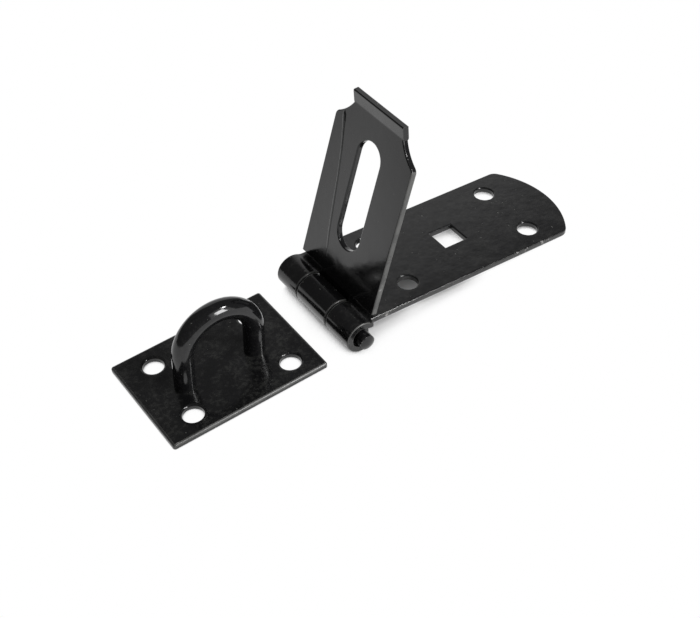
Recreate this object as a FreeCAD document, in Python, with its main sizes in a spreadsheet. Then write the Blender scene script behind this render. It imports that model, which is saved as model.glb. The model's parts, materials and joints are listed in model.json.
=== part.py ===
"""Safety hasp and staple in black enamelled steel sheet, lying on a table as unpacked.

Millimetres, +Z up. The origin is midway between the staple plate's screw holes, on its underside,
+X runs towards the hasp, and the hinge pin lies along Y. The hasp lies on its rolled hinge and its
rounded end, wall side up, and the slotted leaf stands open.
"""
import FreeCAD, Part
import math
import os

import Sketcher

os.makedirs("parts", exist_ok=True)
doc = FreeCAD.newDocument("hasp_and_staple")

# Driving dimensions
SIZES = {
    # sheet that the hasp is pressed from
    "sheet_gauge": 2.0,
    "strip_width": 38.1,
    "edge_round": 0.45,
    # rolled hinge
    "pin_radius": 3.4,
    "pin_running_gap": 0.05,
    "wall_face_height": 4.5,
    "roll_entry_radius": 4.0,
    "base_roll_end": 40.0,
    "leaf_roll_end": 17.0,
    "leaf_knuckle_width": 15.6,
    "knuckle_side_gap": 0.35,
    "knuckle_notch_gap": 0.5,
    "roll_spread": 1.3,
    "pin_end_recess": 0.3,
    "pin_head_radius": 2.5,
    "pin_head_near": 3.4,
    "pin_head_far": 0.9,
    "pin_head_dome": 0.7,
    # base plate
    "base_length": 89.3,
    "base_end_radius": 29.0,
    "base_corner_round": 3.5,
    "base_hole_first": 23.5,
    "base_hole_spacing": 48.6,
    "base_hole_gauge": 22.5,
    "screw_hole_radius": 3.3,
    "coach_bolt_place": 48.1,
    "coach_bolt_square": 8.5,
    # slotted leaf
    "leaf_ear_start": 7.0,
    "leaf_side_end": 56.4,
    "leaf_corner_cut": 6.2,
    "leaf_cut_radius": 16.0,
    "leaf_corner_round": 2.0,
    "slot_start": 18.9,
    "slot_end": 55.4,
    "slot_width": 10.9,
    "lip_width": 24.2,
    "lip_bend_radius": 1.5,
    "lip_angle": 20.0,
    "lip_flat": 3.9,
    "leaf_lean": 19.8,
    # staple
    "staple_gauge": 2.0,
    "staple_length": 53.5,
    "staple_width": 39.3,
    "staple_cut_shift": 1.1,
    "staple_corner_round": 0.9,
    "staple_edge_round": 0.8,
    "staple_hole_long": 34.0,
    "staple_hole_wide": 24.2,
    "loop_bar_radius": 3.35,
    "loop_leg_spacing": 24.4,
    "loop_leg_height": 10.5,
    "loop_lean": 5.0,
    "loop_foot_shift": 1.2,
    "loop_side_shift": 1.2,
    "loop_rivet_radius": 2.4,
    "hinge_from_staple": 38.0,
}

sheet = doc.addObject("Spreadsheet::Sheet", "sizes")
for row, (alias, number) in enumerate(SIZES.items(), start=1):
    sheet.set(f"A{row}", alias)
    sheet.set(f"B{row}", str(number))
    sheet.setAlias(f"B{row}", alias)
doc.recompute()


def size(alias):
    """The number in a cell of the sheet."""
    return float(sheet.get(alias))


def plane(body, role):
    """One of a body's own origin planes."""
    return next(item for item in body.Origin.OriginFeatures if item.Role == role)


def new_body(label):
    """An empty body with its label."""
    body = doc.addObject("PartDesign::Body", label)
    body.Label = label
    return body


def new_sketch(body, name, role, height=None):
    """A sketch on an origin plane, lifted along its normal by an expression."""
    sketch = body.newObject("Sketcher::SketchObject", name)
    sketch.AttachmentSupport = (plane(body, role), [""])
    sketch.MapMode = "FlatFace"
    if height:
        sketch.setExpression("AttachmentOffset.Base.z", height)
    return sketch


def point(x, y):
    """A point of a sketch."""
    return FreeCAD.Vector(x, y, 0)


def arc(centre, radius, start, end):
    """A circular arc, anticlockwise between two angles in degrees."""
    circle = Part.Circle(point(*centre), FreeCAD.Vector(0, 0, 1), radius)
    return Part.ArcOfCircle(circle, math.radians(start), math.radians(end))


def bind(sketch, expression, *terms):
    """Adds a dimension to a sketch and ties it to an expression over the sheet."""
    index = sketch.addConstraint(Sketcher.Constraint(*terms))
    sketch.setExpression(f"Constraints[{index}]", expression)


def tie(sketch, *terms):
    """Adds a plain geometric constraint to a sketch."""
    sketch.addConstraint(Sketcher.Constraint(*terms))


def rise(sketch, geometry, end, expression, kind="DistanceY"):
    """Fixes a point's height from the sketch's origin, on the side where it already lies."""
    spot = sketch.getPoint(geometry, end)
    now = spot.y if kind == "DistanceY" else spot.x
    ends = (-1, 1, geometry, end) if now >= 0 else (geometry, end, -1, 1)
    bind(sketch, expression, kind, *ends, abs(now))


def place(sketch, geometry, end, across, up):
    """Fixes a point of a sketch by two distances from the sketch's origin, each an expression."""
    rise(sketch, geometry, end, across, kind="DistanceX")
    rise(sketch, geometry, end, up)


def join_loop(sketch, lines):
    """Joins the end of each line to the start of the next, round a closed outline."""
    for here, following in zip(lines, lines[1:] + lines[:1]):
        tie(sketch, "Coincident", here, 2, following, 1)


def circle(sketch, x, y, radius, across, up, radius_expression):
    """A circle at a place given by expressions; its mirror copies are tied to it by symmetry."""
    index = sketch.addGeometry(Part.Circle(point(x, y), FreeCAD.Vector(0, 0, 1), radius))
    place(sketch, index, 3, across, up)
    bind(sketch, radius_expression, "Radius", index, radius)
    return index


def mirror_circle(sketch, original, x, y, radius, about):
    """An equal circle, symmetric to another about an axis of the sketch."""
    index = sketch.addGeometry(Part.Circle(point(x, y), FreeCAD.Vector(0, 0, 1), radius))
    tie(sketch, "Symmetric", original, 3, index, 3, about)
    tie(sketch, "Equal", original, index)
    return index


def rectangle(sketch, low, high, low_expressions, high_expressions):
    """A rectangle between two corners, each placed by expressions for its distances from the origin."""
    first = sketch.GeometryCount
    corners = [point(*low), point(high[0], low[1]), point(*high), point(low[0], high[1])]
    for here, following in zip(corners, corners[1:] + corners[:1]):
        sketch.addGeometry(Part.LineSegment(here, following))
    join_loop(sketch, [first, first + 1, first + 2, first + 3])
    for step, direction in enumerate(("Horizontal", "Vertical", "Horizontal", "Vertical")):
        tie(sketch, direction, first + step)
    place(sketch, first, 1, *low_expressions)
    place(sketch, first + 1, 2, *high_expressions)


RIGHT_FOOT = "sizes.loop_leg_spacing / 2 - sizes.loop_foot_shift"
LEFT_FOOT = "sizes.loop_leg_spacing / 2 + sizes.loop_foot_shift"
right_foot = size("loop_leg_spacing") / 2 - size("loop_foot_shift")
left_foot = -size("loop_leg_spacing") / 2 - size("loop_foot_shift")
loop_side = -size("loop_side_shift")


def foot_circle(sketch, x, across, alias):
    """A circle at the foot of one of the loop's legs."""
    return circle(sketch, x, loop_side, size(alias), across, "sizes.loop_side_shift", f"sizes.{alias}")


def rivet_pair(sketch):
    """Two circles for the rivets on the loop's legs."""
    foot_circle(sketch, right_foot, RIGHT_FOOT, "loop_rivet_radius")
    foot_circle(sketch, left_foot, LEFT_FOOT, "loop_rivet_radius")


def pad(body, name, sketch, length, back=None):
    """A pad of a sketch by an expression, and by a second one backwards where it is given."""
    feature = body.newObject("PartDesign::Pad", name)
    feature.Profile = sketch
    feature.setExpression("Length", length)
    if back:
        feature.SideType = "Two sides"
        feature.setExpression("Length2", back)
    doc.recompute()
    return feature


def pocket(body, name, sketch):
    """A cut of a sketch right through the body, both ways, that has to take metal away."""
    before = body.Shape.Volume
    feature = body.newObject("PartDesign::Pocket", name)
    feature.Profile = sketch
    feature.Type = "ThroughAll"
    feature.SideType = "Symmetric"
    doc.recompute()
    if not body.Shape.Volume < before:
        raise RuntimeError(f"{name} cut nothing")
    return feature


def round_edges(body, name, radius, wanted):
    """A fillet on each edge of the body's tip that the test picks."""
    tip = body.Tip
    names = [f"Edge{number}" for number, edge in enumerate(tip.Shape.Edges, start=1) if wanted(edge)]
    feature = body.newObject("PartDesign::Fillet", name)
    feature.Base = (tip, names)
    feature.setExpression("Radius", radius)
    doc.recompute()
    return feature


def middle(edge):
    """The point halfway along an edge."""
    return edge.valueAt((edge.FirstParameter + edge.LastParameter) / 2)


def lies_flat(edge, height):
    """True where a whole edge lies at one height."""
    box = edge.BoundBox
    return max(abs(box.ZMin - height), abs(box.ZMax - height)) < 1e-4


# Shapes shared by the base plate and the leaf, each drawn with the pin along Y at its origin,
# the sheet along +X and the face that meets the wall uppermost
UNDER = "sizes.wall_face_height - sizes.sheet_gauge"
LEAF_BORE = "(sizes.pin_radius + sizes.pin_running_gap)"
face = size("wall_face_height")
gauge = size("sheet_gauge")
under = face - gauge
half_strip = size("strip_width") / 2


def roll_start(bore):
    """Where the flat sheet ends and its roll begins, for a roll of this bore."""
    entry = size("roll_entry_radius")
    return math.sqrt((bore + gauge + entry) ** 2 - (face + entry) ** 2)


def roll_start_expression(bore):
    """The same place, as an expression over the sheet."""
    reach = f"({bore} + sizes.sheet_gauge + sizes.roll_entry_radius)"
    rise = "(sizes.wall_face_height + sizes.roll_entry_radius)"
    return f"sqrt({reach} ^ 2 - {rise} ^ 2)"


def rolled_knuckle(body, bore, bore_expression, near_half, far_half, end, end_expression):
    """The sheet's end rolled round the pin: a short rise out of the flat, then most of a turn.

    The free edge ends at an angle above the pin's level, or below it where the angle is negative.
    """
    sketch = new_sketch(body, "roll_profile", "XZ_Plane")
    entry = size("roll_entry_radius")
    start = roll_start(bore)
    turn = math.degrees(math.atan2(face + entry, start))
    centre = (start, face + entry)
    outside = bore + gauge
    sketch.addGeometry(Part.LineSegment(point(start, under), point(start, face)))
    sketch.addGeometry(arc(centre, entry, 180 + turn, 270))
    sketch.addGeometry(arc((0, 0), outside, turn, 360 + end))
    tip = [point(r * math.cos(math.radians(end)), r * math.sin(math.radians(end))) for r in (outside, bore)]
    sketch.addGeometry(Part.LineSegment(*tip))
    sketch.addGeometry(arc((0, 0), bore, turn, 360 + end))
    sketch.addGeometry(arc(centre, entry + gauge, 180 + turn, 270))
    joint_line, rise_top, outer, end_line, inner, rise_under = range(6)
    tie(sketch, "Coincident", joint_line, 2, rise_top, 2)
    tie(sketch, "Coincident", joint_line, 1, rise_under, 2)
    tie(sketch, "Tangent", rise_top, 1, outer, 1)
    tie(sketch, "Tangent", rise_under, 1, inner, 1)
    tie(sketch, "Coincident", outer, 2, end_line, 1)
    tie(sketch, "Coincident", end_line, 2, inner, 2)
    tie(sketch, "Coincident", outer, 3, -1, 1)
    tie(sketch, "Coincident", inner, 3, -1, 1)
    tie(sketch, "Coincident", rise_top, 3, rise_under, 3)
    tie(sketch, "Vertical", joint_line)
    tie(sketch, "Vertical", rise_top, 3, rise_top, 2)
    bind(sketch, "sizes.wall_face_height", "DistanceY", -1, 1, joint_line, 2, face)
    bind(sketch, UNDER, "DistanceY", -1, 1, joint_line, 1, under)
    bind(sketch, "sizes.roll_entry_radius", "Radius", rise_top, entry)
    bind(sketch, f"{bore_expression} + sizes.sheet_gauge", "Radius", outer, outside)
    sine = f"sin({end_expression} * 1 deg)"
    rise(sketch, outer, 2, f"({bore_expression} + sizes.sheet_gauge) * {sine}")
    rise(sketch, inner, 2, f"{bore_expression} * {sine}")
    pad(body, "roll", sketch, near_half, back=far_half)


# Base plate: a strip with a rounded end, two outer knuckles, four screw holes and a square bolt hole
base = new_body("base_plate")
outline = new_sketch(base, "outline", "XY_Plane", UNDER)
base_start = roll_start(size("pin_radius"))
end_centre = size("base_length") - size("base_end_radius")
end_half = math.degrees(math.asin(half_strip / size("base_end_radius")))
corner = end_centre + size("base_end_radius") * math.cos(math.radians(end_half))
near, tail, far, hinge_side = range(4)
outline.addGeometry(Part.LineSegment(point(base_start, -half_strip), point(corner, -half_strip)))
outline.addGeometry(arc((end_centre, 0), size("base_end_radius"), -end_half, end_half))
outline.addGeometry(Part.LineSegment(point(corner, half_strip), point(base_start, half_strip)))
outline.addGeometry(Part.LineSegment(point(base_start, half_strip), point(base_start, -half_strip)))
join_loop(outline, [near, tail, far, hinge_side])
tie(outline, "Horizontal", near)
tie(outline, "Symmetric", near, 1, far, 2, -1)
tie(outline, "Symmetric", near, 2, far, 1, -1)
bind(outline, roll_start_expression("sizes.pin_radius"), "DistanceX", -1, 1, far, 2, base_start)
bind(outline, "sizes.strip_width / 2", "DistanceY", -1, 1, far, 2, half_strip)
bind(outline, "sizes.base_end_radius", "Radius", tail, size("base_end_radius"))
bind(outline, "sizes.base_length - sizes.base_end_radius", "DistanceX", -1, 1, tail, 3, end_centre)
pad(base, "strip", outline, "sizes.sheet_gauge")
rolled_knuckle(base, size("pin_radius"), "sizes.pin_radius", "sizes.strip_width / 2 + sizes.roll_spread",
               "sizes.strip_width / 2", -size("base_roll_end"), "sizes.base_roll_end")

# Notch between the two outer knuckles, where the leaf's knuckle turns
leaf_knuckle = size("pin_radius") + size("pin_running_gap") + gauge
NOTCH_REACH = f"({LEAF_BORE} + sizes.sheet_gauge + sizes.knuckle_notch_gap)"
reach = leaf_knuckle + size("knuckle_notch_gap")
half_notch = size("leaf_knuckle_width") / 2 + size("knuckle_side_gap")
notch = new_sketch(base, "notch_outline", "XY_Plane")
notch_corner = (NOTCH_REACH, "sizes.leaf_knuckle_width / 2 + sizes.knuckle_side_gap")
rectangle(notch, (-reach, -half_notch), (reach, half_notch), notch_corner, notch_corner)
pocket(base, "notch", notch)

holes = new_sketch(base, "hole_outlines", "XY_Plane")
half_gauge = size("base_hole_gauge") / 2
for place_x, expression in (
    (size("base_hole_first"), "sizes.base_hole_first"),
    (size("base_hole_first") + size("base_hole_spacing"), "sizes.base_hole_first + sizes.base_hole_spacing"),
):
    upper = circle(holes, place_x, half_gauge, size("screw_hole_radius"),
                   expression, "sizes.base_hole_gauge / 2", "sizes.screw_hole_radius")
    mirror_circle(holes, upper, place_x, -half_gauge, size("screw_hole_radius"), -1)
half_square = size("coach_bolt_square") / 2
bolt = size("coach_bolt_place")
SQUARE_HALF = "sizes.coach_bolt_square / 2"
rectangle(
    holes, (bolt - half_square, -half_square), (bolt + half_square, half_square),
    (f"sizes.coach_bolt_place - {SQUARE_HALF}", SQUARE_HALF),
    (f"sizes.coach_bolt_place + {SQUARE_HALF}", SQUARE_HALF),
)
pocket(base, "holes", holes)


def at_base_corner(edge):
    """True for the two short edges where the sides meet the rounded end."""
    spot = middle(edge)
    upright = edge.BoundBox.ZLength > gauge / 2 and edge.BoundBox.XLength < 1e-4
    return upright and abs(spot.x - corner) < 1e-3 and abs(abs(spot.y) - half_strip) < 1e-3


def on_roll_end(edge, outside):
    """True for the outer edge at an end of a rolled knuckle of this outside radius."""
    turns = isinstance(edge.Curve, Part.Circle) and abs(edge.Curve.Radius - outside) < 1e-4
    return turns and edge.BoundBox.YLength < 1e-4


def on_base_rim(edge):
    """True for the plate's outer edges, the hole rims and the knuckles' ends."""
    flat = lies_flat(edge, face) or lies_flat(edge, under)
    on_plate = flat and middle(edge).x > reach + gauge / 2
    return on_plate or on_roll_end(edge, size("pin_radius") + gauge)


round_edges(base, "corner_rounds", "sizes.base_corner_round", at_base_corner)
round_edges(base, "rim_rounds", "sizes.edge_round", on_base_rim)

# Slotted leaf: one middle knuckle, two ears, hollow corner cuts and a finger lip curled off the wall
leaf = new_body("hasp_leaf")
leaf_start = roll_start(leaf_knuckle - gauge)
half_knuckle = size("leaf_knuckle_width") / 2
ear = size("leaf_ear_start")
side_end = size("leaf_side_end")
cut = size("leaf_corner_cut")
lip_start = side_end + cut
half_lip = size("lip_width") / 2
outline = new_sketch(leaf, "outline", "XY_Plane", UNDER)
half = [(leaf_start, half_knuckle), (ear, half_knuckle), (ear, half_strip), (side_end, half_strip)]
tip_corner = (lip_start, half_lip)
lower = [point(x, -y) for x, y in half]
upper_side = [point(x, y) for x, y in half]
neck_low, ear_low, side_low, cut_low, lip_line = range(5)
cut_high, side_high, ear_high, neck_high, hinge_side = range(5, 10)
hollow = size("leaf_cut_radius")
cut_across = half_strip - half_lip
chord = math.hypot(cut, cut_across)
away = math.sqrt(hollow ** 2 - chord ** 2 / 4) / chord
hollow_x = (side_end + lip_start) / 2 + cut_across * away
hollow_y = (half_strip + half_lip) / 2 + cut * away
side_turn = math.degrees(math.atan2(half_strip - hollow_y, side_end - hollow_x))
lip_turn = math.degrees(math.atan2(half_lip - hollow_y, lip_start - hollow_x))
for here, following in zip(lower, lower[1:]):
    outline.addGeometry(Part.LineSegment(here, following))
outline.addGeometry(arc((hollow_x, -hollow_y), hollow, -lip_turn, -side_turn))
outline.addGeometry(Part.LineSegment(point(lip_start, -half_lip), point(*tip_corner)))
outline.addGeometry(arc((hollow_x, hollow_y), hollow, side_turn, lip_turn))
for here, following in zip(upper_side[::-1], upper_side[::-1][1:]):
    outline.addGeometry(Part.LineSegment(here, following))
outline.addGeometry(Part.LineSegment(upper_side[0], lower[0]))
tie(outline, "Coincident", neck_low, 2, ear_low, 1)
tie(outline, "Coincident", ear_low, 2, side_low, 1)
tie(outline, "Coincident", side_low, 2, cut_low, 2)
tie(outline, "Coincident", cut_low, 1, lip_line, 1)
tie(outline, "Coincident", lip_line, 2, cut_high, 2)
tie(outline, "Coincident", cut_high, 1, side_high, 1)
tie(outline, "Coincident", side_high, 2, ear_high, 1)
tie(outline, "Coincident", ear_high, 2, neck_high, 1)
tie(outline, "Coincident", neck_high, 2, hinge_side, 1)
tie(outline, "Coincident", hinge_side, 2, neck_low, 1)
place(outline, neck_high, 2, roll_start_expression(LEAF_BORE), "sizes.leaf_knuckle_width / 2")
place(outline, ear_high, 2, "sizes.leaf_ear_start", "sizes.leaf_knuckle_width / 2")
place(outline, ear_high, 1, "sizes.leaf_ear_start", "sizes.strip_width / 2")
place(outline, side_high, 1, "sizes.leaf_side_end", "sizes.strip_width / 2")
place(outline, lip_line, 2, "sizes.leaf_side_end + sizes.leaf_corner_cut", "sizes.lip_width / 2")
bind(outline, "sizes.leaf_cut_radius", "Radius", cut_high, hollow)
tie(outline, "Equal", cut_high, cut_low)
for high, high_end, low, low_end in (
    (neck_high, 2, neck_low, 1), (ear_high, 2, neck_low, 2), (ear_high, 1, ear_low, 2),
    (side_high, 1, side_low, 2), (lip_line, 2, lip_line, 1),
):
    tie(outline, "Symmetric", high, high_end, low, low_end, -1)
pad(leaf, "strip", outline, "sizes.sheet_gauge")
HALF_KNUCKLE = "sizes.leaf_knuckle_width / 2"
rolled_knuckle(leaf, leaf_knuckle - gauge, LEAF_BORE, HALF_KNUCKLE, HALF_KNUCKLE, size("leaf_roll_end"),
               "sizes.leaf_roll_end")

# Finger lip: the sheet's end bent sharply towards the hinge roll's side, then flat
lip = new_sketch(leaf, "lip_profile", "XZ_Plane")
bend = size("lip_bend_radius")
flat_length = size("lip_flat")
lip_end = math.radians(90 - size("lip_angle"))
bend_centre = point(lip_start, under - bend)
spoke = FreeCAD.Vector(math.cos(lip_end), math.sin(lip_end), 0)
onward = FreeCAD.Vector(math.sin(lip_end), -math.cos(lip_end), 0) * flat_length
outer_end = bend_centre + spoke * (bend + gauge)
inner_end = bend_centre + spoke * bend
lip.addGeometry(Part.LineSegment(point(lip_start, under), point(lip_start, face)))
lip.addGeometry(arc((lip_start, under - bend), bend + gauge, 90 - size("lip_angle"), 90))
lip.addGeometry(Part.LineSegment(outer_end, outer_end + onward))
lip.addGeometry(Part.LineSegment(outer_end + onward, inner_end + onward))
lip.addGeometry(Part.LineSegment(inner_end + onward, inner_end))
lip.addGeometry(arc((lip_start, under - bend), bend, 90 - size("lip_angle"), 90))
fold, bend_outer, flat_outer, lip_edge, flat_inner, bend_inner = range(6)
tie(lip, "Coincident", fold, 2, bend_outer, 2)
tie(lip, "Coincident", bend_inner, 2, fold, 1)
tie(lip, "Coincident", bend_outer, 3, bend_inner, 3)
tie(lip, "Tangent", bend_outer, 1, flat_outer, 1)
tie(lip, "Tangent", bend_inner, 1, flat_inner, 2)
tie(lip, "Coincident", flat_outer, 2, lip_edge, 1)
tie(lip, "Coincident", lip_edge, 2, flat_inner, 1)
tie(lip, "Vertical", fold)
tie(lip, "Vertical", bend_inner, 3, fold, 1)
tie(lip, "Parallel", flat_outer, flat_inner)
tie(lip, "Perpendicular", lip_edge, flat_inner)
place(lip, fold, 1, "sizes.leaf_side_end + sizes.leaf_corner_cut", UNDER)
bind(lip, "sizes.sheet_gauge", "Distance", fold, gauge)
bind(lip, "sizes.lip_bend_radius", "Radius", bend_inner, bend)
bind(lip, "sizes.lip_flat", "Distance", flat_inner, flat_length)
bind(lip, "sizes.lip_bend_radius * (1 - cos(sizes.lip_angle * 1 deg))", "DistanceY", bend_inner, 1, fold, 1,
     bend * (1 - math.sin(lip_end)))
HALF_LIP = "sizes.lip_width / 2"
pad(leaf, "finger_lip", lip, HALF_LIP, back=HALF_LIP)

slot = new_sketch(leaf, "slot_outline", "XY_Plane")
slot_radius = size("slot_width") / 2
low_x = size("slot_start") + slot_radius
high_x = size("slot_end") - slot_radius
slot.addGeometry(Part.LineSegment(point(low_x, -slot_radius), point(high_x, -slot_radius)))
slot.addGeometry(arc((high_x, 0), slot_radius, -90, 90))
slot.addGeometry(Part.LineSegment(point(high_x, slot_radius), point(low_x, slot_radius)))
slot.addGeometry(arc((low_x, 0), slot_radius, 90, 270))
for here, following in ((0, 1), (1, 2), (2, 3), (3, 0)):
    tie(slot, "Tangent", here, 2, following, 1)
tie(slot, "Horizontal", 0)
tie(slot, "PointOnObject", 1, 3, -1)
bind(slot, "sizes.slot_width / 2", "Radius", 1, slot_radius)
bind(slot, "sizes.slot_end - sizes.slot_width / 2", "DistanceX", -1, 1, 1, 3, high_x)
bind(slot, "sizes.slot_start + sizes.slot_width / 2", "DistanceX", -1, 1, 3, 3, low_x)
pocket(leaf, "slot", slot)


def at_leaf_corner(edge):
    """True for the two short edges where the leaf's sides meet its corner cuts."""
    spot = middle(edge)
    upright = edge.BoundBox.ZLength > gauge / 2
    return upright and abs(spot.x - side_end) < 1e-3 and abs(abs(spot.y) - half_strip) < 1e-3


def on_leaf_rim(edge):
    """True for the leaf's side edges, the slot rims, the lip's tip and the knuckle's ends."""
    flat = lies_flat(edge, face) or lies_flat(edge, under)
    spot = middle(edge)
    on_sheet = flat and ear < spot.x < lip_start - 1e-3
    on_tip = spot.x > lip_start + flat_length / 2 and edge.BoundBox.YLength > half_lip
    return on_sheet or on_tip or on_roll_end(edge, leaf_knuckle)


round_edges(leaf, "corner_rounds", "sizes.leaf_corner_round", at_leaf_corner)
round_edges(leaf, "rim_rounds", "sizes.edge_round", on_leaf_rim)

# Hinge pin: a plain rod with a smaller riveted end standing out of each side
pin = new_body("hinge_pin")
rod = new_sketch(pin, "rod_profile", "XY_Plane")
head = size("pin_head_radius")
dome = size("pin_head_dome")
rod_end = half_strip - size("pin_end_recess")
near_end = half_strip + size("roll_spread")
near_tip = near_end + size("pin_head_near")
far_tip = half_strip + size("pin_head_far")
radius = size("pin_radius")
crown = (head ** 2 + dome ** 2) / (2 * dome)
crown_turn = math.degrees(math.asin(head / crown))
axis_line, near_dome, near_neck, near_step, barrel, far_step, far_neck, far_dome = range(8)
rod.addGeometry(Part.LineSegment(point(0, far_tip), point(0, -near_tip)))
rod.addGeometry(arc((0, crown - near_tip), crown, -90, crown_turn - 90))
rod.addGeometry(Part.LineSegment(point(head, dome - near_tip), point(head, -rod_end)))
rod.addGeometry(Part.LineSegment(point(head, -rod_end), point(radius, -rod_end)))
rod.addGeometry(Part.LineSegment(point(radius, -rod_end), point(radius, rod_end)))
rod.addGeometry(Part.LineSegment(point(radius, rod_end), point(head, rod_end)))
rod.addGeometry(Part.LineSegment(point(head, rod_end), point(head, far_tip - dome)))
rod.addGeometry(arc((0, far_tip - crown), crown, 90 - crown_turn, 90))
join_loop(rod, list(range(8)))
ROD_END = "sizes.strip_width / 2 - sizes.pin_end_recess"
tie(rod, "PointOnObject", near_dome, 3, -2)
tie(rod, "PointOnObject", far_dome, 3, -2)
tie(rod, "PointOnObject", axis_line, 1, -2)
tie(rod, "PointOnObject", axis_line, 2, -2)
place(rod, near_neck, 1, "sizes.pin_head_radius",
      "sizes.strip_width / 2 + sizes.roll_spread + sizes.pin_head_near - sizes.pin_head_dome")
place(rod, near_neck, 2, "sizes.pin_head_radius", ROD_END)
place(rod, barrel, 1, "sizes.pin_radius", ROD_END)
place(rod, barrel, 2, "sizes.pin_radius", ROD_END)
place(rod, far_neck, 1, "sizes.pin_head_radius", ROD_END)
place(rod, far_neck, 2, "sizes.pin_head_radius",
      "sizes.strip_width / 2 + sizes.pin_head_far - sizes.pin_head_dome")
bind(rod, "sizes.strip_width / 2 + sizes.pin_head_far", "DistanceY", -1, 1, axis_line, 1, far_tip)
bind(rod, "sizes.strip_width / 2 + sizes.roll_spread + sizes.pin_head_near", "DistanceY", axis_line, 2, -1, 1,
     near_tip)
turned = pin.newObject("PartDesign::Revolution", "rod")
turned.Profile = rod
turned.ReferenceAxis = (rod, ["V_Axis"])
turned.Angle = 360
doc.recompute()

# Staple plate: a flat rectangle with four screw holes and two holes for the loop's rivets
staple = new_body("staple_plate")
half_long = size("staple_length") / 2
half_wide = size("staple_width") / 2
shift = size("staple_cut_shift")
plate_outline = new_sketch(staple, "outline", "XY_Plane")
rectangle(
    plate_outline, (-half_long - shift, -half_wide), (half_long - shift, half_wide),
    ("sizes.staple_length / 2 + sizes.staple_cut_shift", "sizes.staple_width / 2"),
    ("sizes.staple_length / 2 - sizes.staple_cut_shift", "sizes.staple_width / 2"),
)
pad(staple, "plate", plate_outline, "sizes.staple_gauge")

plate_holes = new_sketch(staple, "hole_outlines", "XY_Plane")
hole_x = size("staple_hole_long") / 2
hole_y = size("staple_hole_wide") / 2
screw = size("screw_hole_radius")
right = circle(plate_holes, hole_x, hole_y, screw,
               "sizes.staple_hole_long / 2", "sizes.staple_hole_wide / 2", "sizes.screw_hole_radius")
left = mirror_circle(plate_holes, right, -hole_x, hole_y, screw, -2)
mirror_circle(plate_holes, right, hole_x, -hole_y, screw, -1)
mirror_circle(plate_holes, left, -hole_x, -hole_y, screw, -1)
rivet_pair(plate_holes)
pocket(staple, "holes", plate_holes)


def at_staple_corner(edge):
    """True for the four upright corner edges."""
    spot = middle(edge)
    return abs(abs(spot.x + shift) - half_long) < 1e-4 and abs(abs(spot.y) - half_wide) < 1e-4


def on_staple_rim(edge, height):
    """True for the plate's outer edges and the screw holes' rims at a height, but not round the rivets."""
    box = edge.BoundBox
    on_rivet = any(abs(box.Center.x - foot_x) < 1e-3 for foot_x in (right_foot, left_foot))
    return lies_flat(edge, height) and not on_rivet


def on_staple_top(edge):
    """True for the rims on the punched side, which the punch rolls over."""
    return on_staple_rim(edge, size("staple_gauge"))


def on_staple_underside(edge):
    """True for the rims on the side that meets the wall."""
    return on_staple_rim(edge, 0)


round_edges(staple, "corner_rounds", "sizes.staple_corner_round", at_staple_corner)
round_edges(staple, "top_rounds", "sizes.staple_edge_round", on_staple_top)
round_edges(staple, "rim_rounds", "sizes.edge_round", on_staple_underside)

# Staple loop: a round bar bent to an arch that leans a little, with a rivet turned on the foot of each leg
loop = new_body("staple_loop")
foot = size("staple_gauge")
spring = foot + size("loop_leg_height")
lean = math.radians(size("loop_lean"))
arch = size("loop_leg_spacing") / 2 * math.cos(lean)
arch_x = size("loop_leg_height") * math.tan(lean) - size("loop_foot_shift")
right_top = point(arch_x + arch * math.cos(lean), spring - arch * math.sin(lean))
left_top = point(arch_x - arch * math.cos(lean), spring + arch * math.sin(lean))
path = new_sketch(loop, "bar_path", "XZ_Plane", "sizes.loop_side_shift")
path.addGeometry(Part.LineSegment(point(right_foot, foot), right_top))
path.addGeometry(arc((arch_x, spring), arch, -size("loop_lean"), 180 - size("loop_lean")))
path.addGeometry(Part.LineSegment(left_top, point(left_foot, foot)))
tie(path, "Tangent", 0, 2, 1, 1)
tie(path, "Tangent", 1, 2, 2, 1)
tie(path, "Parallel", 0, 2)
place(path, 0, 1, RIGHT_FOOT, "sizes.staple_gauge")
place(path, 2, 2, LEFT_FOOT, "sizes.staple_gauge")
bind(path, "sizes.staple_gauge + sizes.loop_leg_height", "DistanceY", -1, 1, 1, 3, spring)
bind(path, "(90 - sizes.loop_lean) * 1 deg", "Angle", 0, math.pi / 2 - lean)
section = new_sketch(loop, "bar_section", "XY_Plane", "sizes.staple_gauge")
foot_circle(section, right_foot, RIGHT_FOOT, "loop_bar_radius")
doc.recompute()
bar = loop.newObject("PartDesign::AdditivePipe", "bar")
bar.Profile = section
bar.Spine = (path, ["Edge1", "Edge2", "Edge3"])
doc.recompute()
rivets = new_sketch(loop, "rivet_outlines", "XY_Plane")
rivet_pair(rivets)
pad(loop, "rivets", rivets, "sizes.staple_gauge")

# Places: the hinge stands off the staple, the rolled knuckle touches the table and so does the rounded end
AXIS_HEIGHT = f"{LEAF_BORE} + sizes.sheet_gauge"
PITCH = (f"asin(({AXIS_HEIGHT}) / sqrt(sizes.base_length ^ 2 + ({UNDER}) ^ 2))"
         f" + atan(({UNDER}) / sizes.base_length)")
LEAF_FLIP = "((90 - sizes.leaf_lean) / 2 * 1 deg)"
for body in (base, leaf, pin):
    body.setExpression("Placement.Base.x", "sizes.hinge_from_staple")
    body.setExpression("Placement.Base.z", AXIS_HEIGHT)
base.Placement.Rotation = FreeCAD.Rotation(FreeCAD.Vector(0, 1, 0), 1)
base.setExpression("Placement.Rotation.Angle", PITCH)
leaf.Placement.Rotation = FreeCAD.Rotation(FreeCAD.Vector(1, 0, 1), 180)
leaf.setExpression("Placement.Rotation.Axis.x", f"cos({LEAF_FLIP})")
leaf.setExpression("Placement.Rotation.Axis.z", f"sin({LEAF_FLIP})")
doc.recompute()

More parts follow.
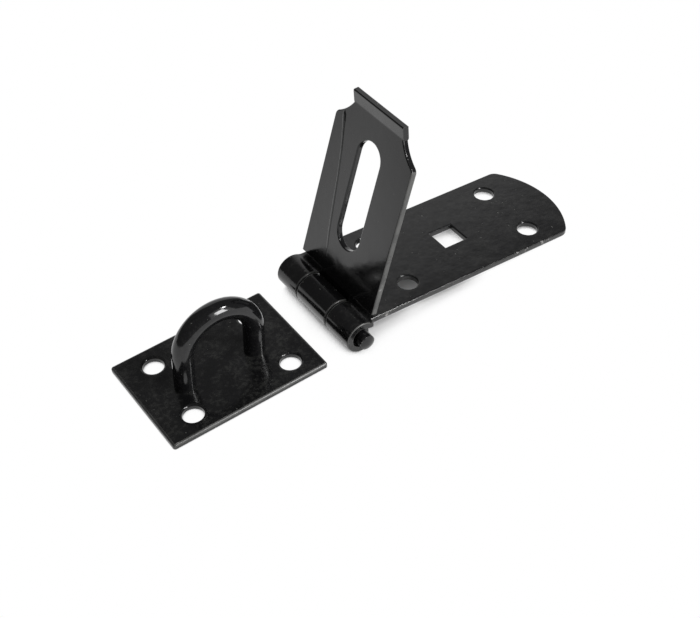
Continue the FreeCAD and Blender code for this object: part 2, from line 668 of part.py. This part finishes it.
PARTS = (base, leaf, pin, staple, loop)
for item in doc.Objects:
    if {"Invalid", "Error"} & set(item.State):
        raise RuntimeError(f"{item.Label} failed: {item.State}")
for body in PARTS:
    if body.Shape.isNull() or not body.Shape.isValid() or len(body.Shape.Solids) != 1:
        raise RuntimeError(f"{body.Label} is not one sound solid")
for body in PARTS:
    body.Shape.exportStep(f"parts/{body.Label}.step")
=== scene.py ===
"""Black enamelled safety hasp and staple, dressed and lit as in the photograph. Lengths are in metres."""
import json
from math import cos, pi, radians, sin

import bmesh
import bpy
from mathutils import Matrix, Vector


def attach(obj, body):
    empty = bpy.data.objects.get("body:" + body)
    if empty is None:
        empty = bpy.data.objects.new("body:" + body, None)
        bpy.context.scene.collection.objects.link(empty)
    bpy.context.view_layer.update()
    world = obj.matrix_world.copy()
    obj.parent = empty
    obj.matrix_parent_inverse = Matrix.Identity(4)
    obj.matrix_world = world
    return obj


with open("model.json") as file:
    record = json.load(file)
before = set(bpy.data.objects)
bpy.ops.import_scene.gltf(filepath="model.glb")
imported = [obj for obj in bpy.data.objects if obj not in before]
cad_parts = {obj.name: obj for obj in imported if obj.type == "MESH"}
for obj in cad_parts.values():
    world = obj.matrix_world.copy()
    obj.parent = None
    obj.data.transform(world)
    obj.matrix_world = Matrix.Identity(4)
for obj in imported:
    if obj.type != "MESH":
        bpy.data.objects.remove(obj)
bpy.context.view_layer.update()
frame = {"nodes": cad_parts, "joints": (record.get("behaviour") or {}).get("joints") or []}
nodes = frame["nodes"]

# Photograph: its width in pixels, and where its camera stood
PHOTO_WIDTH = 700
VIEW_AZIMUTH = radians(-31.467)
VIEW_ELEVATION = radians(44.514)
VIEW_ROLL = radians(-4.698)
VIEW_DISTANCE = 0.42758
VIEW_TARGET = Vector((0.04499, -0.00317, 0.0))
FOCAL_PIXELS = 1360.8
SENSOR_WIDTH = 36.0
CLIP_START = 0.01

# Colours of the enamel and of the steel under it
ENAMEL_BLACK = (0.006, 0.006, 0.0065, 1.0)
ENAMEL_DUSTY = (0.024, 0.024, 0.023, 1.0)
PAINT_SPECK = (0.10, 0.10, 0.095, 1.0)
BARE_STEEL = (0.22, 0.215, 0.21, 1.0)
# Lighter grey for edges and rims: partly enamel worn thin, partly a painted highlight
THIN_ENAMEL_AND_HIGHLIGHT = (0.085, 0.085, 0.082, 1.0)

# Patterns in the enamel: noise scale, detail and roughness
CLOUD_NOISE = (160.0, 3.0, 0.55)
GRAIN_NOISE = (820.0, 2.0, 0.6)
SPECK_NOISE = (950.0, 1.0, 0.5)
CHIP_NOISE = (330.0, 4.0, 0.65)
PEEL_NOISE = (620.0, 2.0, 0.5)
WAVE_NOISE = (190.0, 1.0, 0.5)

# Dust and specks: where each starts and is full, and how much the clouds of dust change its grain
DUST_LIMITS = (0.40, 0.72)
DUST_CLOUDS = (0.3, 0.7, 0.75, 1.1)
SPECK_LIMITS = (0.76, 0.79)

# Wear: how far an edge reaches, how far the normal turns there, where chips start, and the unevenness of
# the highlights painted on the rims
EDGE_REACH = 0.0006
EDGE_SAMPLES = 6
EDGE_TURN = (0.985, 0.90)
CHIP_START = 0.66
CHIP_FULL = 0.70
RIM_FADE = 0.0002
RIM_CLOUDS = (0.25, 0.7)
RIM_LEAST = 0.4

# Gloss: the clouds that dull the coat, by how much, and how much rougher its worn places are
GLOSS_CLOUDS = (0.3, 0.75)
GLOSS_SPREAD = 0.08
WORN_ROUGHNESS = 0.22
PLAIN_IOR = 1.5

# Heights in the coat
PEEL_HEIGHT = 0.000016
WAVE_HEIGHT = 0.00004
SPECK_HEIGHT = 0.00003

# Leaf: a point on the hinge pin's axis, the directions up the sheet and square to it,
# how far the face that the photograph shows is from the axis, and half its width
LEAF_LEAN = radians(19.8)
PIN_PLACE = Vector(frame["joints"][0]["pos_m"])
LEAF_UP = Vector((sin(LEAF_LEAN), 0.0, cos(LEAF_LEAN)))
LEAF_OUT = Vector((cos(LEAF_LEAN), 0.0, -sin(LEAF_LEAN)))
LEAF_FACE = 0.0025
LEAF_HALF = 0.01905

# The leaf's slight bow: its height, where it starts and ends along the sheet, and its share at each side
LEAF_BOW = 0.0074
BOW_START = -0.03
BOW_END = 0.06
BOW_SIDES = (1.12, 0.9)

# A run of enamel down the leaf's face: distance up the sheet, place across it, width and height, in mm
MILLIMETRE = 0.001
PAINT_RUN = (
    (58.3, 15.1, 0.5, 0.06), (57.2, 14.9, 1.7, 0.34), (55.4, 14.5, 1.8, 0.36), (53.0, 13.9, 1.3, 0.26),
    (46.1, 12.3, 1.1, 0.20), (37.6, 11.0, 1.1, 0.18), (29.0, 10.0, 1.2, 0.17), (19.6, 8.8, 1.2, 0.14),
    (14.5, 7.8, 1.0, 0.09), (11.0, 7.0, 0.5, 0.02),
)
RUN_STEPS = 10
RUN_ARCH = 8
RUN_FULLNESS = 1.5
RUN_SINK = 0.03

# Rims painted lighter as highlights where their edges catch the light: an axis, a centre, the nearest and
# farthest distance from it, another axis with the range in which the rim lies, and how strong the painted
# highlight is
FAR = 1.0
BARREL = 0.0412
BASE_HIGHLIGHT_RIMS = (
    ("Y", 0.0, 0.0187, FAR, "X", 0.045, FAR, 0.2),
    ("Y", 0.0, 0.0081, 0.0087, "X", -FAR, BARREL, 1.0),
    ("Y", -0.00065, 0.0193, 0.01968, "X", -FAR, BARREL, 1.0),
)
LEAF_HIGHLIGHT_RIMS = (
    ("Y", 0.0, 0.0187, FAR, "X", -FAR, FAR, 1.0),
    ("Y", 0.0, 0.0073, 0.0079, "X", -FAR, BARREL, 1.0),
)
STAPLE_HIGHLIGHT_RIMS = (
    ("Y", 0.0, 0.0189, FAR, "Z", 0.0011, FAR, 1.0),
    ("X", -0.0011, 0.0259, FAR, "Z", -FAR, FAR, 0.8),
)

# Coats: least roughness, share of dust, how much more the edges chip, how much lighter the edges are
# painted, as enamel worn thin and as painted highlight, its rims painted lighter as highlights, and for the
# leaf its bow and a refraction of its own
COATS = {
    "base_enamel": {"gloss": 0.14, "dust_share": 0.6, "wear": 0.035, "rub_and_highlight": 0.45, "highlight_rims": BASE_HIGHLIGHT_RIMS},
    "leaf_enamel": {"gloss": 0.12, "dust_share": 0.2, "wear": 0.0, "rub_and_highlight": 0.3, "highlight_rims": LEAF_HIGHLIGHT_RIMS,
                    "bow": True, "ior": 1.46},
    "staple_enamel": {"gloss": 0.12, "dust_share": 1.0, "wear": 0.02, "rub_and_highlight": 0.35, "highlight_rims": STAPLE_HIGHLIGHT_RIMS},
    "bar_enamel": {"gloss": 0.07, "dust_share": 0.3, "wear": 0.0, "rub_and_highlight": 0.1},
}
COAT_OF_NODE = {
    "base_plate": "base_enamel",
    "hasp_leaf": "leaf_enamel",
    "staple_plate": "staple_enamel",
    "hinge_pin": "bar_enamel",
    "staple_loop": "bar_enamel",
}

# Floor: how far the part's shade reaches, and how open the floor is where it is full and where it ends.
# The shade is softer beyond the hinge, where the photograph shows white through the holes.
FLOOR_SIZE = 6.0
FLOOR_WHITE = (0.86, 0.86, 0.86, 1.0)
SHADE_REACH = 0.027
SHADE_SAMPLES = 12
SHADE_LIMITS = (0.2, 0.52)
SOFT_SHADE_LIMITS = (0.02, 0.2)
SOFT_SHADE_FROM = (0.076, 0.090)

# Room: a dim sky, and a bright wall with the angles from its middle at which it fades out and is full
SKY_DIM = 0.17
SKY_BRIGHT = 1.0
BRIGHT_WALL = (0.396, 0.890, 0.225)
WALL_OUTER = radians(31)
WALL_INNER = radians(26)

# Lamps: place, width, length and power in watts
LAMP_AIM = (0.03, 0.0, 0.02)
LAMPS = {
    "front_softbox": ((0.28, -0.60, 0.30), 0.45, 0.75, 0.9),
    "front_core": ((0.265, -0.60, 0.275), 0.20, 0.34, 3.4),
    "side_lamp": ((0.39, -0.36, 0.51), 0.09, 0.09, 1.5),
}

# Colour sockets of Blender's Mix node
MIX_FIRST = 6
MIX_SECOND = 7
MIX_RESULT = 2


class Nodes:
    """A small helper that adds nodes to a node tree and links their sockets."""

    def __init__(self, tree):
        self.tree = tree
        self.tree.nodes.clear()

    def add(self, kind, inputs=None, **settings):
        node = self.tree.nodes.new("ShaderNode" + kind)
        for name, value in settings.items():
            setattr(node, name, value)
        for name, value in (inputs or {}).items():
            if isinstance(value, bpy.types.NodeSocket):
                self.tree.links.new(value, node.inputs[name])
            else:
                node.inputs[name].default_value = value
        return node

    def noise(self, where, scale, detail, roughness):
        inputs = {"Vector": where, "Scale": scale, "Detail": detail, "Roughness": roughness}
        return self.add("TexNoise", inputs).outputs["Fac"]

    def ramp(self, value, low, high, start=0.0, end=1.0):
        inputs = {"Value": value, "From Min": low, "From Max": high, "To Min": start, "To Max": end}
        return self.add("MapRange", inputs, interpolation_type="SMOOTHSTEP").outputs["Result"]

    def math(self, operation, first, second):
        return self.add("Math", {0: first, 1: second}, operation=operation).outputs[0]

    def dot(self, first, second):
        return self.add("VectorMath", {0: first, 1: second}, operation="DOT_PRODUCT").outputs["Value"]

    def coordinate(self, where, axis):
        return self.add("SeparateXYZ", {"Vector": where}).outputs[axis]

    def band(self, where, axis, centre, low, high, other, start, end):
        """1 where a coordinate lies between two distances from a centre, and another one in a range."""
        offset = self.math("SUBTRACT", self.coordinate(where, axis), centre)
        away = self.math("ABSOLUTE", offset, 0.0)
        outside_low = self.ramp(away, low, low + RIM_FADE)
        inside = self.math("MULTIPLY", outside_low, self.math("LESS_THAN", away, high))
        along = self.coordinate(where, other)
        past = self.math("GREATER_THAN", along, start)
        before = self.math("LESS_THAN", along, end)
        return self.math("MULTIPLY", inside, self.math("MULTIPLY", past, before))

    def mix(self, factor, first, second):
        inputs = {"Factor": factor, MIX_FIRST: first, MIX_SECOND: second}
        return self.add("Mix", inputs, data_type="RGBA").outputs[MIX_RESULT]


def sharp_edges(n):
    """1 along the edges of a piece, where a small bevel would turn the normal."""
    bevel = n.add("Bevel", {"Radius": EDGE_REACH}, samples=EDGE_SAMPLES).outputs["Normal"]
    facing = n.add("NewGeometry").outputs["Normal"]
    return n.ramp(n.dot(bevel, facing), *EDGE_TURN)


def leaf_bow(n, where):
    """Height of the leaf's bow, which grows up the sheet and is larger on one side."""
    foot = PIN_PLACE.dot(LEAF_UP)
    rise = n.ramp(n.dot(where, LEAF_UP), foot + BOW_START, foot + BOW_END, 0.0, LEAF_BOW)
    side = n.ramp(n.coordinate(where, "Y"), -LEAF_HALF, LEAF_HALF, *BOW_SIDES)
    return n.math("MULTIPLY", side, rise)


def enamel(name, gloss, dust_share, wear, rub_and_highlight, highlight_rims=(), bow=False, ior=PLAIN_IOR):
    """Stoved black enamel: orange peel, specks and dust in the coat, worn spots along the edges, edges
    painted lighter as worn-thin enamel and painted highlight, and rims painted lighter as highlights.
    """
    material = bpy.data.materials.new(name)
    material.use_nodes = True
    n = Nodes(material.node_tree)
    where = n.add("TexCoord").outputs["Object"]
    clouds = n.noise(where, *CLOUD_NOISE)

    grain = n.math("MULTIPLY", n.noise(where, *GRAIN_NOISE), n.ramp(clouds, *DUST_CLOUDS))
    dust = n.ramp(grain, *DUST_LIMITS, 0.0, dust_share)
    specks = n.ramp(n.noise(where, *SPECK_NOISE), *SPECK_LIMITS)
    colour = n.mix(dust, ENAMEL_BLACK, ENAMEL_DUSTY)
    colour = n.mix(specks, colour, PAINT_SPECK)

    edge = sharp_edges(n)
    chips = n.ramp(n.noise(where, *CHIP_NOISE), CHIP_START - wear, CHIP_FULL - wear)
    # Edges painted lighter: partly enamel worn thin, partly a painted highlight on the rounded edges
    thin_and_highlight = n.math("MULTIPLY", edge, rub_and_highlight)
    for *place, share in highlight_rims:
        # Each rim band is painted lighter, unevenly by the clouds: a painted highlight where the edge
        # catches the light
        highlight_rim = n.band(where, *place)
        edge = n.math("MAXIMUM", edge, highlight_rim)
        painted_highlight = n.ramp(clouds, *RIM_CLOUDS, RIM_LEAST * share, share)
        thin_and_highlight = n.math("MAXIMUM", thin_and_highlight, n.math("MULTIPLY", highlight_rim, painted_highlight))
    worn = n.math("MULTIPLY", edge, chips)
    # The lighter grey on edges and rims is worn-thin enamel and painted highlight
    colour = n.mix(thin_and_highlight, colour, THIN_ENAMEL_AND_HIGHLIGHT)
    colour = n.mix(worn, colour, BARE_STEEL)

    dull = n.math("MAXIMUM", n.math("MAXIMUM", worn, specks), thin_and_highlight)
    rough = n.ramp(clouds, *GLOSS_CLOUDS, gloss, gloss + GLOSS_SPREAD)
    rough = n.math("ADD", rough, n.math("MULTIPLY", dull, WORN_ROUGHNESS))

    peel = n.math("MULTIPLY", n.noise(where, *PEEL_NOISE), PEEL_HEIGHT)
    waves = n.math("MULTIPLY", n.noise(where, *WAVE_NOISE), WAVE_HEIGHT)
    height = n.math("ADD", peel, waves)
    height = n.math("ADD", height, n.math("MULTIPLY", specks, SPECK_HEIGHT))
    if bow:
        height = n.math("ADD", height, leaf_bow(n, where))
    bump = n.add("Bump", {"Height": height, "Strength": 1.0, "Distance": 1.0}).outputs["Normal"]

    inputs = {"Base Color": colour, "Roughness": rough, "Normal": bump, "IOR": ior}
    shader = n.add("BsdfPrincipled", inputs).outputs["BSDF"]
    n.add("OutputMaterial", {"Surface": shader})
    return material


def dress(node, material):
    """Gives a CAD node its material."""
    mesh = nodes[node].data
    mesh.materials.clear()
    mesh.materials.append(material)


def paint_run(coat):
    """A drip of enamel that dried on the leaf's face: a low ridge with a bead at its top."""
    base = PIN_PLACE + LEAF_FACE * LEAF_OUT
    rows = []
    for here, following in zip(PAINT_RUN, PAINT_RUN[1:]):
        for step in range(RUN_STEPS):
            share = step / RUN_STEPS
            rows.append([(1 - share) * a + share * b for a, b in zip(here, following)])
    rows.append(PAINT_RUN[-1])
    shape = bmesh.new()
    rings = []
    for up, across, width, height in rows:
        middle = base + MILLIMETRE * up * LEAF_UP
        ring = []
        for corner in range(RUN_ARCH + 1):
            turn = pi * corner / RUN_ARCH
            side = MILLIMETRE * (across + width / 2 * cos(turn))
            rise = MILLIMETRE * (height * sin(turn) ** RUN_FULLNESS - RUN_SINK)
            ring.append(shape.verts.new(middle + Vector((0.0, side, 0.0)) - rise * LEAF_OUT))
        rings.append(ring)
    for here, following in zip(rings, rings[1:]):
        for a, b, c, d in zip(here, here[1:] + here[:1], following[1:] + following[:1], following):
            shape.faces.new((a, b, c, d))
    shape.faces.new(rings[0])
    shape.faces.new(rings[-1][::-1])
    bmesh.ops.recalc_face_normals(shape, faces=shape.faces)
    mesh = bpy.data.meshes.new("paint_run")
    shape.to_mesh(mesh)
    shape.free()
    for face in mesh.polygons:
        face.use_smooth = True
    mesh.materials.append(coat)
    run = bpy.data.objects.new("paint_run", mesh)
    bpy.context.scene.collection.objects.link(run)
    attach(run, "leaf")


def seen_directly(n):
    """1 for the camera's own rays and for mirrored or refracted ones, 0 for light."""
    path = n.add("LightPath").outputs
    seen = n.math("MAXIMUM", path["Is Camera Ray"], path["Is Glossy Ray"])
    return n.math("MAXIMUM", seen, path["Is Transmission Ray"])


def floor_shade(n):
    """How much the part shades the floor close under it: 0 in the open."""
    openness = n.add("AmbientOcclusion", {"Distance": SHADE_REACH}, samples=SHADE_SAMPLES).outputs["AO"]
    place = n.add("NewGeometry").outputs["Position"]
    beyond = n.ramp(n.coordinate(place, "X"), *SOFT_SHADE_FROM)
    shade = n.math("SUBTRACT", 1.0, n.ramp(openness, *SHADE_LIMITS))
    shade = n.math("MULTIPLY", shade, n.math("SUBTRACT", 1.0, beyond))
    soft_shade = n.math("SUBTRACT", 1.0, n.ramp(openness, *SOFT_SHADE_LIMITS))
    soft_shade = n.math("MULTIPLY", soft_shade, beyond)
    return n.math("ADD", shade, soft_shade)


def pale_floor():
    """A floor that looks white in the open and keeps the part's shadow."""
    material = bpy.data.materials.new("pale_floor")
    material.use_nodes = True
    n = Nodes(material.node_tree)
    paint = n.add("BsdfDiffuse", {"Color": FLOOR_WHITE}).outputs["BSDF"]
    glow = n.add("Emission", {"Strength": 1.0}).outputs["Emission"]
    lit = n.math("SUBTRACT", 1.0, floor_shade(n))
    share = n.math("MULTIPLY", seen_directly(n), lit)
    both = n.add("MixShader", {0: share, 1: paint, 2: glow}).outputs["Shader"]
    n.add("OutputMaterial", {"Surface": both})

    mesh = bpy.data.meshes.new("floor")
    half = FLOOR_SIZE / 2
    corners = [(-half, -half, 0.0), (half, -half, 0.0), (half, half, 0.0), (-half, half, 0.0)]
    mesh.from_pydata(corners, [], [(0, 1, 2, 3)])
    mesh.materials.append(material)
    floor = bpy.data.objects.new("floor", mesh)
    bpy.context.scene.collection.objects.link(floor)


def studio_world():
    """A dim room with one bright wall beyond the hasp's rounded end."""
    world = bpy.data.worlds.new("studio")
    bpy.context.scene.world = world
    world.use_nodes = True
    n = Nodes(world.node_tree)
    towards = n.dot(n.add("TexCoord").outputs["Generated"], BRIGHT_WALL)
    strength = n.ramp(towards, cos(WALL_OUTER), cos(WALL_INNER), SKY_DIM, SKY_BRIGHT)
    background = n.add("Background", {"Strength": strength}).outputs["Background"]
    n.add("OutputWorld", {"Surface": background})


def lamp(name, place, width, length, power):
    """A rectangular lamp, turned towards the part."""
    light = bpy.data.lights.new(name, "AREA")
    light.shape = "RECTANGLE"
    light.size = width
    light.size_y = length
    light.energy = power
    stand = bpy.data.objects.new(name, light)
    stand.location = place
    stand.rotation_euler = (Vector(LAMP_AIM) - Vector(place)).to_track_quat("-Z", "Y").to_euler()
    bpy.context.scene.collection.objects.link(stand)


def photo_camera():
    """The photograph's camera, from its angles, its distance and its focal length."""
    level = cos(VIEW_ELEVATION)
    back = Vector((sin(VIEW_AZIMUTH) * level, -cos(VIEW_AZIMUTH) * level, sin(VIEW_ELEVATION)))
    right = Vector((cos(VIEW_AZIMUTH), sin(VIEW_AZIMUTH), 0.0))
    up = back.cross(right)
    turned_right = cos(VIEW_ROLL) * right + sin(VIEW_ROLL) * up
    turned_up = back.cross(turned_right)
    data = bpy.data.cameras.new("photo_camera")
    data.sensor_fit = "HORIZONTAL"
    data.sensor_width = SENSOR_WIDTH
    data.lens = FOCAL_PIXELS / PHOTO_WIDTH * SENSOR_WIDTH
    data.clip_start = CLIP_START
    camera = bpy.data.objects.new("photo_camera", data)
    turn = Matrix((turned_right, turned_up, back)).transposed()
    camera.matrix_world = Matrix.Translation(VIEW_TARGET + VIEW_DISTANCE * back) @ turn.to_4x4()
    bpy.context.scene.collection.objects.link(camera)
    bpy.context.scene.camera = camera


coats = {name: enamel(name, **look) for name, look in COATS.items()}
for node, coat_name in COAT_OF_NODE.items():
    dress(node, coats[coat_name])
paint_run(coats["leaf_enamel"])

pale_floor()
studio_world()
for lamp_name, setting in LAMPS.items():
    lamp(lamp_name, *setting)
photo_camera()
bpy.context.scene.view_settings.view_transform = "Standard"
